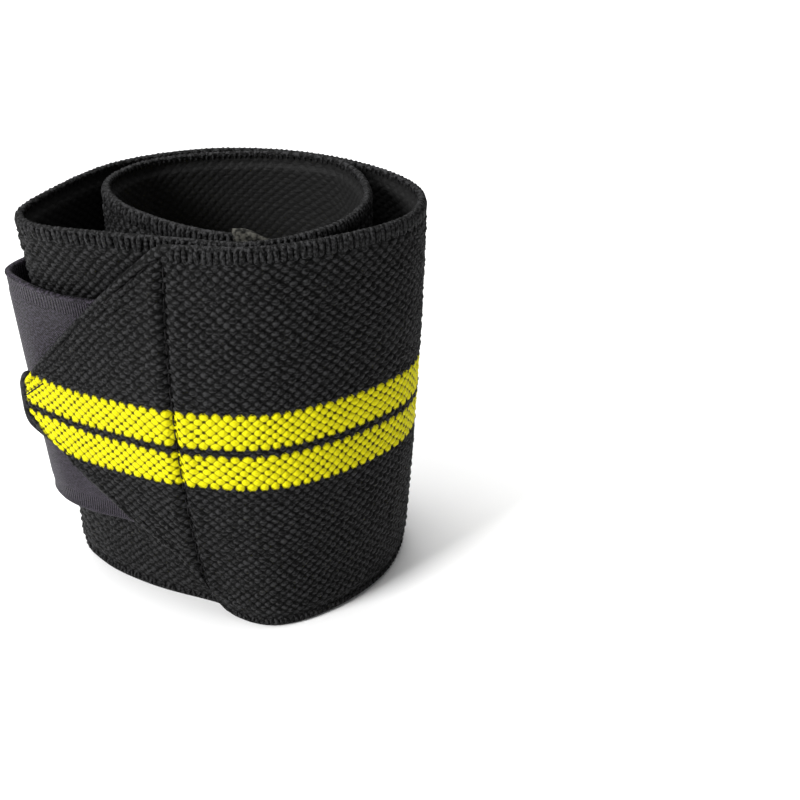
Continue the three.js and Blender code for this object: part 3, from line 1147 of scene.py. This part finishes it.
@dataclass
class ElasticBand:
    """The striped band: pointed end, outer turn and inner coil. Its sizes are in mm.

    Attributes:
        surface: Its middle surface.
        weave: The lattice of its lobes.
        thickness: Thickness of the cloth.
        point_thickness: Thickness of the pointed end, with the corners turned in behind it.
        tip_share: Share of that thickness at the very tip.
        tip_length: Length over which the tip is rounded.
        cut_rows: Rows near which the band is cut into pieces, behind the seam.
        lobe_sections: Sections to a lobe.
        ribbed_rows: Rows over which the folded edge gives way to the ribbed one.
        inset_rows: Rows over which the cloth draws back behind the ribs.
        inset_top: How far it draws back from the top edge.
        inset_foot: How far it draws back from the foot edge.
        margin_over: How much wider than the ribs are high the plain margin of a ribbed edge is.
        margin_fade: Share of the margin at which the weave begins, and how far behind the
            margin it is full.
        rim_sunk: How far a ribbed edge is sunk round its rim.
        margin_sunk: How far its margin is sunk.
        inner_depth: Share of the relief that the smoother inner face has.
        seam_row: Row of the seam.
        seam_depth: Depth of its groove.
        seam_half_width: Half the groove's width.
        swell: Distance from the seam, width squared and height of the rise beside it.
        seam_below: Distances from the top edge over which the groove begins.
        line: Distance from a turned edge, width squared and depth of the stitched line.
        binding_tip: Length of the dark turned edge at the tip.
        binding_foot: Its height along the foot edge, and how much of it is lost by its end.
        binding_end: Lengths over which it is lost.
        binding_fade: How softly it ends, as shares of its width.
        rib_height: Height of the ribs.
        rib_radius: Radius of a rib.
        rib_pitch: Distance from one rib to the next.
        rib_stray: How far a rib strays from its place.
        rib_lean: How far it leans.
        rib_sizes: Least and largest share of the radius.
        rib_close: How far the outer legs of a U draw together, at their end and just before it.
        rib_seat: How far inside the cloth's face a rib's middle line lies, as a share of its radius.
        rib_end: Distance of the last rib from the hem.
        hem_rows: Rows that the hem takes up.
        seam_sewn: Heights between which the seam is sewn.
        seam_stitches: Its stitches.
        rim_sewn: First rows of the stitched lines at the top and the foot edge, and their last.
        rim_inset: Distance of those lines from the edge.
        rim_stitches: Stitches along them.
        field_sewn: Heights between which the ends of the loop field are sewn on.
        field_margin: Distance of those stitches from the ends.
        field_stitches: Stitches along them.
        corner: Lengths and heights between which the corner turned in at the tip shows.
        corner_line: The line that it shows as.
        thread_radius: Radius of the thread.
        binding_radius: Radius of the dark edge round the tip.
    """

    surface: ClothSurface
    weave: Weave = field(default_factory=Weave)
    thickness: float = 2.0
    point_thickness: float = 2.4
    tip_share: float = 0.75
    tip_length: float = 1.3
    cut_rows: tuple = (8.9, 16.5, 22.6)
    lobe_sections: int = 5
    ribbed_rows: tuple = (2.9, 3.2)
    inset_rows: tuple = (2.9, 3.3)
    inset_top: float = 0.15
    inset_foot: float = 0.045
    margin_over: float = 0.3
    margin_fade: tuple = (0.8, 0.9)
    rim_sunk: float = 0.25
    margin_sunk: float = 0.6
    inner_depth: float = 0.22
    seam_row: float = 3.0
    seam_depth: float = 0.95
    seam_half_width: float = 0.7
    swell: tuple = (2.2, 1.2, 0.3)
    seam_below: tuple = (2.5, 5.0)
    line: tuple = (2.3, 0.18, 0.35)
    binding_tip: float = 1.5
    binding_foot: tuple = (2.6, 1.3)
    binding_end: tuple = (1.5, 7.5)
    binding_fade: tuple = (1.15, 0.85)
    rib_height: float = 2.6
    rib_radius: float = 0.56
    rib_pitch: float = 1.12
    rib_stray: float = 0.07
    rib_lean: float = 0.06
    rib_sizes: tuple = (0.88, 1.04)
    rib_close: tuple = (0.36, 0.1)
    rib_seat: float = 0.9
    rib_end: float = 0.4
    hem_rows: float = 0.62
    seam_sewn: tuple = (10.0, 74.0)
    seam_stitches: Stitches = Stitches(0.38, 0.6)
    rim_sewn: tuple = (0.7, 0.8, 2.9)
    rim_inset: float = 2.35
    rim_stitches: Stitches = Stitches(0.58, 1.0, 1.7, 2.3)
    field_sewn: tuple = (17.0, 66.5)
    field_margin: float = 2.0
    field_stitches: Stitches = Stitches(2.42, 0.8)
    corner: tuple = ((0.6, 7.7), (41.8, 47.4))
    corner_line: Stitches = Stitches(0.98, 0.2)
    thread_radius: float = 0.16
    binding_radius: float = 1.15

    @property
    def end(self) -> float:
        """Length at which the hem takes over."""
        return self.surface.length_of(len(self.surface.rows) - 1 - self.hem_rows)

    def edges(self, row: Array) -> tuple[Array, Array]:
        """Foot and top heights at table rows."""
        return edge_height(FOOT_EDGE, row), edge_height(TOP_EDGE, row)

    def woven_edges(self, row: Array) -> tuple[Array, Array]:
        """The same for the cloth between the ribs, which lies a little inside them."""
        foot, top = self.edges(row)
        drawn_back = smooth(row, *self.inset_rows)
        return foot + self.inset_foot * drawn_back, top - self.inset_top * drawn_back

    def face_relief(self, length: Array, z: Array, side: Array) -> Array:
        """Relief of the cloth's faces in mm.

        Args:
            length: Length along the band.
            z: Height.
            side: 1 on the outer face, -1 on the inner one, 0 round a rim.

        Returns:
            How far each point stands out.
        """
        row = self.surface.row_of(length)
        foot, top = self.edges(row)
        # A folded edge of the pointed end keeps its weave to the rim; a ribbed edge doesn't.
        plain = smooth(row, *self.ribbed_rows)
        margin = self.margin_over + plain * self.rib_height
        fade = margin * self.margin_fade[0], margin + self.margin_fade[1]
        inside = 1 - plain * (1 - smooth(z - foot, *fade) * smooth(top - z, *fade))
        sunk = np.where(side == 0, self.rim_sunk, self.margin_sunk) * plain * (1 - inside)
        depth = np.where(side < 0, self.inner_depth, 1.0)
        bump = self.weave.relief(length, z) * inside * depth - sunk
        gap = np.abs(length - self.surface.length_of(self.seam_row))
        groove = np.exp(-((gap / self.seam_half_width) ** 2)) * self.seam_depth
        place, width, height = self.swell
        swell = np.exp(-((gap - place) ** 2) / width) * height
        below = smooth(top - z, *self.seam_below)
        return bump + np.where(side > 0, (swell - groove) * below, 0)

    def stitched_rim(self, length: Array, z: Array, side: Array) -> Array:
        """Relief of the pointed end, with the stitched line inside its turned edges."""
        foot, top = self.edges(self.surface.row_of(length))
        place, width, depth = self.line
        away = np.minimum(np.abs(z - (top - place)), np.abs(z - (foot + place)))
        groove = np.exp(-(away**2) / width) * depth
        return self.face_relief(length, z, side) - np.where(side > 0, groove, 0)

    def tip_taper(self, length: Array) -> Array:
        """The share of the thickness left at a length from the rounded tip."""
        rounded = np.sqrt(np.clip(length / self.tip_length, 0, 1))
        return self.tip_share + (1 - self.tip_share) * rounded

    def build(self, finish: bpy.types.Material) -> list:
        """Makes the band in lengths that follow on from each other.

        Args:
            finish: The woven elastic.

        Returns:
            Its pieces.
        """
        half, period = self.thickness / 2, self.weave.period
        # Cuts fall on the crest of a column of lobes, where the two lengths meet smoothly.
        cuts = [self.surface.length_of(row) for row in (self.seam_row, *self.cut_rows)]
        ends = [0.0, *(round(cut / period) * period for cut in cuts), self.end]
        lengths = (
            ("pointed_end", half - self.point_thickness, Face.OUTER),
            ("outer_turn_front", -half, Face.OUTER),
            ("outer_turn_back", -half, Face.OUTER),
            ("coil_front", -half, Face.INNER),
            ("coil_back", -half, Face.INNER),
        )
        pieces = []
        for (name, inner, fine), first, last in zip(lengths, ends, ends[1:]):
            shell = StripShell(self.surface, first, last, period / self.lobe_sections, half, inner, fine)
            shell.lattice = self.weave.drift
            relief = self.face_relief
            if name == "pointed_end":
                shell.binding, shell.taper, relief = self.binding, self.tip_taper, self.stitched_rim
            piece = dress(shell.build(name, self.woven_edges, relief), finish)
            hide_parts("elastic_band")
            length = np.linspace(first, last, 200)
            foot, top = self.edges(self.surface.row_of(length))
            pieces.append(piece)
        return pieces

    def binding(self, length: Array, z: Array) -> Array:
        """How dark the turned edge round the blunt tip is, from 0 to 1.

        Args:
            length: Length along the band.
            z: Height.

        Returns:
            The share of black at each point.
        """
        foot, _ = self.edges(self.surface.row_of(length))
        # The rounded edge takes up half the cloth's thickness before the face begins.
        widest, lost = self.binding_foot
        width = widest - lost * smooth(length, *self.binding_end)
        share = np.minimum(length / self.binding_tip, (z - foot) / width)
        return smooth(share, *self.binding_fade)

    def rib_paths(self, edge: RibbedEdge) -> list:
        """Paths of the ribs that run over one edge of the cloth.

        Args:
            edge: How they lie on it.

        Returns:
            One path of points in metres a rib.
        """
        lengths = np.arange(self.surface.length_of(edge.first_row), self.end - self.rib_end, self.rib_pitch)
        face = self.thickness / 2 - self.rib_radius * self.rib_seat
        out, level, _ = (np.array(column) for column in zip(*RIB_PROFILE))
        out = out * face * edge.out
        inwards = self.rib_radius * edge.sunk + level * edge.level
        rng = np.random.default_rng(SEED + int(edge.top))
        paths = []
        for i, length in enumerate(lengths + rng.normal(0, self.rib_stray, len(lengths))):
            foot_z, top_z = self.edges(self.surface.row_of(length))
            z = top_z - inwards if edge.top else foot_z + inwards
            lean = rng.normal(0, self.rib_lean) * np.linspace(1, -1, len(z))
            # Each two ribs close into a U at the foot of their outer legs.
            towards = -1 if i % 2 else 1
            lean[:2] += towards * np.array(self.rib_close)
            paths.append(self.surface.place(self.surface.row_of(length + lean), z, out))
        return paths

    def build_ribs(self, finish: bpy.types.Material) -> list:
        """Makes the ribbed top and foot edges.

        Args:
            finish: The black yarn.

        Returns:
            Its pieces.
        """
        share = np.array([entry[2] for entry in RIB_PROFILE])
        pieces = []
        for edge in RIBBED_EDGES:
            paths = self.rib_paths(edge)
            rng = np.random.default_rng(SEED + 5)
            sizes = rng.uniform(*self.rib_sizes, (len(paths), 1))
            radius = sizes * share * self.rib_radius * edge.radius * MM
            pieces.append(dress(joined_tubes(edge.name, paths, radius), finish))
        return pieces

    def stitch(self, length: Array | float, z: Array, kind: Stitches) -> Array:
        """Lays one stitch.

        Args:
            length: Length along the band in mm, at each of its points or at all.
            z: Height of each point in mm.
            kind: What the stitch is like.

        Returns:
            Its points in metres.
        """
        rows = self.surface.row_of(np.broadcast_to(length, z.shape))
        return self.surface.place(rows, z, kind.out + kind.bow * np.array(STITCH_BOW))

    def build_stitches(self, finish: bpy.types.Material) -> bpy.types.Object:
        """Makes the seam's stitches, those along the turned edges and those of the loop field.

        Args:
            finish: The black thread.

        Returns:
            The piece.
        """
        at = self.surface.length_of
        seam, rim, on_field = self.seam_stitches, self.rim_stitches, self.field_stitches
        paths = [self.stitch(at(self.seam_row), z, seam) for z in seam.spans(*self.seam_sewn)]
        # The turned edges are sewn down along the groove of their stitched line.
        top_row, foot_row, last_row = self.rim_sewn
        edges = ((top_row, TOP_EDGE, -self.rim_inset), (foot_row, FOOT_EDGE, self.rim_inset))
        for first_row, table, inside in edges:
            for length in rim.spans(at(first_row), at(last_row)):
                z = edge_height(table, self.surface.row_of(length)) + inside
                paths.append(self.stitch(length, z, rim))
        # The loop field is sewn on along its ends.
        ends = at(LoopPatch.first_row) + self.field_margin, at(LoopPatch.last_row) - self.field_margin
        for length in ends:
            paths += [self.stitch(length, z, on_field) for z in on_field.spans(*self.field_sewn)]
        # The corner turned in at the tip shows as one thin dark line across the upper stripe.
        length, z = (np.linspace(first, last, len(STITCH_BOW)) for first, last in self.corner)
        paths.append(self.stitch(length, z, self.corner_line))
        radius = np.full(len(STITCH_BOW), self.thread_radius * MM)
        return dress(joined_tubes("seam_stitches", paths, radius), finish)

    def build_binding(self, finish: bpy.types.Material) -> bpy.types.Object:
        """Makes the thick dark edge that runs round the blunt tip.

        Args:
            finish: The black yarn.

        Returns:
            The piece.
        """
        points = 45
        fine = smooth_rail(np.array(TIP_WAY), np.linspace(0, len(TIP_WAY) - 1, points))
        out = np.full(points, -0.2)
        path = self.surface.place(self.surface.row_of(fine[:, 0]), fine[:, 1], out)
        # It thins out at both ends.
        share = np.interp(np.arange(points), (0, 8, 24, points - 1), (0.45, 1.0, 1.0, 0.4))
        tube = joined_tubes("tip_binding", [path], share * self.binding_radius * MM, 12)
        return dress(tube, finish)


@dataclass
class ClosingTab:
    """The hook tape that closes the wrap, seen from its woven back. Its sizes are in mm.

    Attributes:
        band: The band's middle surface.
        foot: Height of its lower edge.
        top: Height of its upper edge.
        thickness: Thickness of the tape.
        stack: Distance from the band's middle surface to the tape's where it lies on the loops.
        cord: Distance from the edge, width squared and height of the thin cord along it.
        rib_start: Distances from the edge over which the ribbed part begins.
        rib_end: Distances over which it ends.
        rib_sunk: How far it is sunk.
    """

    band: ClothSurface
    foot: float = 16.4
    top: float = 66.4
    thickness: float = 1.2
    stack: float = 3.7
    cord: tuple = (0.45, 0.06, 0.1)
    rib_start: tuple = (0.6, 0.9)
    rib_end: tuple = (4.1, 3.6)
    rib_sunk: float = 0.12

    def surface(self) -> ClothSurface:
        """The tab's own surface: its landing on the band, then its free way to the point."""
        heights = (self.top, (self.foot + self.top) / 2, self.foot)
        rows = []
        for row in TAB_LANDING_ROWS:
            rails = []
            for z in heights:
                x, y, _ = self.band.place(np.array([row]), np.array([z]), np.array([self.stack]))[0] / MM
                rails.append((x + MIDDLE[0], y + MIDDLE[1]))
            rows.append(("landing", *rails))
        return ClothSurface((*rows, *TAB_ROWS), self.foot, self.top)

    def edges(self, row: Array) -> tuple[Array, Array]:
        """Foot and top heights at table rows."""
        return np.full_like(row, self.foot), np.full_like(row, self.top)

    def relief(self, length: Array, z: Array, side: Array) -> Array:
        """A thin cord along each edge, the ribbed part inside it, and a flat field, in mm."""
        from_edge = np.minimum(self.top - z, z - self.foot)
        ribbed = smooth(from_edge, *self.rib_start) * smooth(from_edge, *self.rib_end)
        place, width, height = self.cord
        cord = np.exp(-((from_edge - place) ** 2) / width) * height
        return cord - ribbed * self.rib_sunk

    def build(self, finish: bpy.types.Material) -> bpy.types.Object:
        surface = self.surface()
        half = self.thickness / 2
        shell = StripShell(surface, 0.0, surface.length, 0.3, half, -half, fine_step=0.5, coarse_step=2.0)
        tab = dress(shell.build("closing_tab", self.edges, self.relief), finish)
        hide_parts("hook_tab")
        return tab


@dataclass
class LoopPatch:
    """The field of loops round the back that the tab fastens to. Its sizes are in mm.

    Attributes:
        band: The band's middle surface.
        foot: Height of its lower edge.
        top: Height of its upper edge.
        first_row: Row at which it begins.
        last_row: Row at which it ends.
        seat: Distance from the band's middle surface to its inner face.
        thickness: Thickness of the loops.
        naps: Wavelength, height and direction of each swell of the nap.
        pressed: Distance from the edge, width squared and depth of the sewn line.
    """

    band: ClothSurface
    foot: float = 15.5
    top: float = 70.0
    first_row: float = 8.2
    last_row: float = 12.6
    seat: float = 1.3
    thickness: float = 1.3
    naps: tuple = ((1.1, 0.07, 0.4), (1.9, 0.08, 1.1), (3.7, 0.07, 2.3), (0.8, 0.05, 3.0))
    pressed: tuple = (2.0, 0.8, 0.35)

    def edges(self, row: Array) -> tuple[Array, Array]:
        """Foot and top heights at table rows."""
        return np.full_like(row, self.foot), np.full_like(row, self.top)

    def relief(self, length: Array, z: Array, side: Array) -> Array:
        """Uneven nap, pressed down along the sewn edges, in mm."""
        nap = np.zeros_like(length)
        for wave, high, turn in self.naps:
            across = length * math.cos(turn) + z * math.sin(turn)
            nap += high * np.sin(2 * math.pi * across / wave + wave * 5)
        from_edge = np.minimum(self.top - z, z - self.foot)
        place, width, depth = self.pressed
        return nap - np.exp(-((from_edge - place) ** 2) / width) * depth

    def build(self, finish: bpy.types.Material) -> bpy.types.Object:
        first, last = self.band.length_of(self.first_row), self.band.length_of(self.last_row)
        outer = self.seat + self.thickness
        shell = StripShell(self.band, first, last, 0.45, outer, self.seat, fine_step=0.45, coarse_step=3.0)
        patch = dress(shell.build("loop_field", self.edges, self.relief), finish)
        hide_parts("loop_patch")
        return patch


@dataclass
class InnerHem:
    """The whipped hem at the inner end: thick thread wound over the cut edge. Sizes are in mm.

    Attributes:
        band: The band's middle surface.
        rows: Rows from the band's end at which the cloth ends.
        overlap: How far the hem laps over the cloth, in rows.
        foot: Height of its lower end.
        top: Height of its upper end.
        droop: How far the upper end droops, over the last half row.
        thickness: Thickness without the thread's relief.
        pitch: Height from one turn of the thread to the next.
        slant: How far a turn rises along the hem, as a share of the length.
        thread: Height of a turn.
        crease: Height of the creases.
        level: How far under the face the relief starts.
        end_share: Share of the thickness at both ends.
        end_length: Length over which an end is rounded.
        free_end: Share of the length that counts at the free end, which is rounded farther.
    """

    band: ClothSurface
    rows: float = 0.62
    overlap: float = 0.1
    foot: float = 0.4
    top: float = 80.7
    droop: float = 1.5
    thickness: float = 2.1
    pitch: float = 1.15
    slant: float = 0.35
    thread: float = 0.25
    crease: float = 0.14
    level: float = 0.36
    end_share: float = 0.3
    end_length: float = 1.4
    free_end: float = 0.6

    @property
    def first(self) -> float:
        """Length at which the hem begins."""
        return self.band.length_of(len(self.band.rows) - 1 - self.rows - self.overlap)

    def edges(self, row: Array) -> tuple[Array, Array]:
        """Foot and top heights at table rows; the top droops towards the end."""
        last = len(self.band.rows) - 1
        return np.full_like(row, self.foot), self.top - self.droop * smooth(row, last - 0.5, last)

    def relief(self, length: Array, z: Array, side: Array) -> Array:
        """Slanting turns of thread over the rumpled edge, in mm."""
        left = self.band.length - length
        turn = np.abs(np.sin(math.pi * (z + left * self.slant) / self.pitch))
        # Two slanting waves of unlike length cross, and differ on the two faces.
        crease = np.sin(left * 2.1 + z * 0.9) * np.sin(z * 1.7 - left * 0.8 + side)
        return self.thread * np.sqrt(turn) + self.crease * crease - self.level

    def taper(self, length: Array) -> Array:
        """The share of the thickness left at a length; both ends are rounded."""
        from_end = np.minimum(length - self.first, (self.band.length - length) * self.free_end)
        rounded = np.sqrt(np.clip(from_end / self.end_length, 0, 1))
        return self.end_share + (1 - self.end_share) * rounded

    def build(self, finish: bpy.types.Material) -> bpy.types.Object:
        """Makes the hem."""
        half = self.thickness / 2
        shell = StripShell(self.band, self.first, self.band.length, 0.3, half, -half)
        shell.fine_step = shell.coarse_step = 0.25
        shell.rim_steps = 7
        shell.taper = self.taper
        hem = dress(shell.build("whipped_hem", self.edges, self.relief), finish)
        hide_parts("inner_end_hem")
        return hem


@dataclass(frozen=True)
class Studio:
    """A white table with soft light, and the camera where the photograph was taken from.

    Attributes:
        camera_mm: Place of the camera, about the middle of the photographed front.
        yaw: Degrees it is turned to the right.
        pitch: Degrees it looks down.
        focal_px: Its focal length in pixels of the frame.
        frame_px: Width of the frame.
        sensor_mm: Width of its sensor.
        aim: Place in metres that the lights face.
        lamps: Name, place in metres, side in metres and watts of each soft light.
        room_light: Strength of the white room's own light.
    """

    camera_mm: tuple = (0.0, -240.0, 166.4)
    yaw: float = 8.172
    pitch: float = 28.506
    focal_px: float = 1356.68
    frame_px: float = 800.0
    sensor_mm: float = 36.0
    aim: tuple = (0.0, 0.0, 0.04)
    lamps: tuple = (
        ("key", (-0.75, -0.45, 0.6), 0.35, 14.0),
        ("fill", (0.8, -0.3, 0.5), 0.6, 0.3),
        ("top", (-0.1, 0.22, 0.95), 0.9, 12.0),
    )
    room_light: float = 0.2

    def build_camera(self) -> None:
        """Places the camera."""
        data = bpy.data.cameras.new("camera")
        data.sensor_width = self.sensor_mm
        data.lens = self.focal_px / self.frame_px * self.sensor_mm
        data.clip_start = 0.01
        camera = bpy.data.objects.new("camera", data)
        bpy.context.collection.objects.link(camera)
        x, y, z = self.camera_mm
        camera.location = ((x - MIDDLE[0]) * MM, (y - MIDDLE[1]) * MM, z * MM)
        yaw, pitch = math.radians(self.yaw), math.radians(self.pitch)
        level = math.cos(pitch)
        forward = Vector((math.sin(yaw) * level, math.cos(yaw) * level, -math.sin(pitch)))
        camera.rotation_euler = forward.to_track_quat("-Z", "Y").to_euler()
        bpy.context.scene.camera = camera

    def build_floor(self) -> None:
        """Lays the pale floor."""
        deselect()
        bpy.ops.mesh.primitive_plane_add(size=6.0, location=(0, 0, 0))
        floor = bpy.context.active_object
        floor.name = "floor"
        # Painted board, so even that only its faintest clouds tell it from plain white.
        s = Shader("white_painted_board")
        place = s.add("TexCoord", output="Object")
        cloud = s.add("TexNoise", {"Vector": place, "Scale": 3.0})
        colour = s.add(COLOURS, {0: cloud, LOW: "#f4f4f4", HIGH: "#fbfbfb"}, output=MIXED)
        bump = s.add("Bump", {"Strength": 0.02, "Distance": 0.2 * MM, "Height": cloud})
        floor.data.materials.append(s.finish(colour, 0.7, bump, 0.0))

    def light(self, name: str, place: tuple, size: float, watts: float) -> None:
        """Adds a square soft light that faces the object.

        Args:
            name: Its name.
            place: Where it stands, in metres.
            size: Its side in metres.
            watts: Its power.
        """
        data = bpy.data.lights.new(name, "AREA")
        data.shape = "SQUARE"
        data.size = size
        data.energy = watts
        lamp = bpy.data.objects.new(name, data)
        bpy.context.collection.objects.link(lamp)
        lamp.location = place
        way = Vector(self.aim) - Vector(place)
        lamp.rotation_euler = way.to_track_quat("-Z", "Y").to_euler()

    def build_lights(self) -> None:
        """Sets up the soft boxes and the white room."""
        for lamp in self.lamps:
            self.light(*lamp)
        world = bpy.data.worlds.new("white_room")
        bpy.context.scene.world = world
        world.use_nodes = True
        room = world.node_tree.nodes["Background"]
        room.inputs["Color"].default_value = linear("#ffffff")
        room.inputs["Strength"].default_value = self.room_light
        bpy.context.scene.view_settings.view_transform = "Standard"

    def build(self) -> None:
        """Sets up camera, floor and lights."""
        self.build_camera()
        self.build_floor()
        self.build_lights()


def main() -> None:
    """Builds the wrap and its studio."""
    logging.basicConfig(level=logging.INFO, format="%(name)s %(message)s")
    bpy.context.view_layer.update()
    band_surface = ClothSurface(BAND_ROWS)
    weave = Weave()
    elastic = StripedElastic(weave).material()
    yarn = YarnFinish("spun_polyester_yarn_black").material()
    thread = YarnFinish("whipping_thread_grey", "#141412", "#4a4944", 0.8, 0.5).material()
    band = ElasticBand(band_surface, weave)
    band.build(elastic)
    band.build_ribs(yarn)
    band.build_binding(YarnFinish("turned_edge_black", "#0b0b0c", "#2a292c", 0.6, 0.4).material())
    band.build_stitches(YarnFinish("sewing_thread_black", "#070707", "#1c1b1c", 0.5, 0.3).material())
    LoopPatch(band_surface).build(LoopTape().material())
    ClosingTab(band_surface).build(HookTape().material())
    InnerHem(band_surface).build(thread)
    Studio().build()


if __name__ == "__main__":
    main()
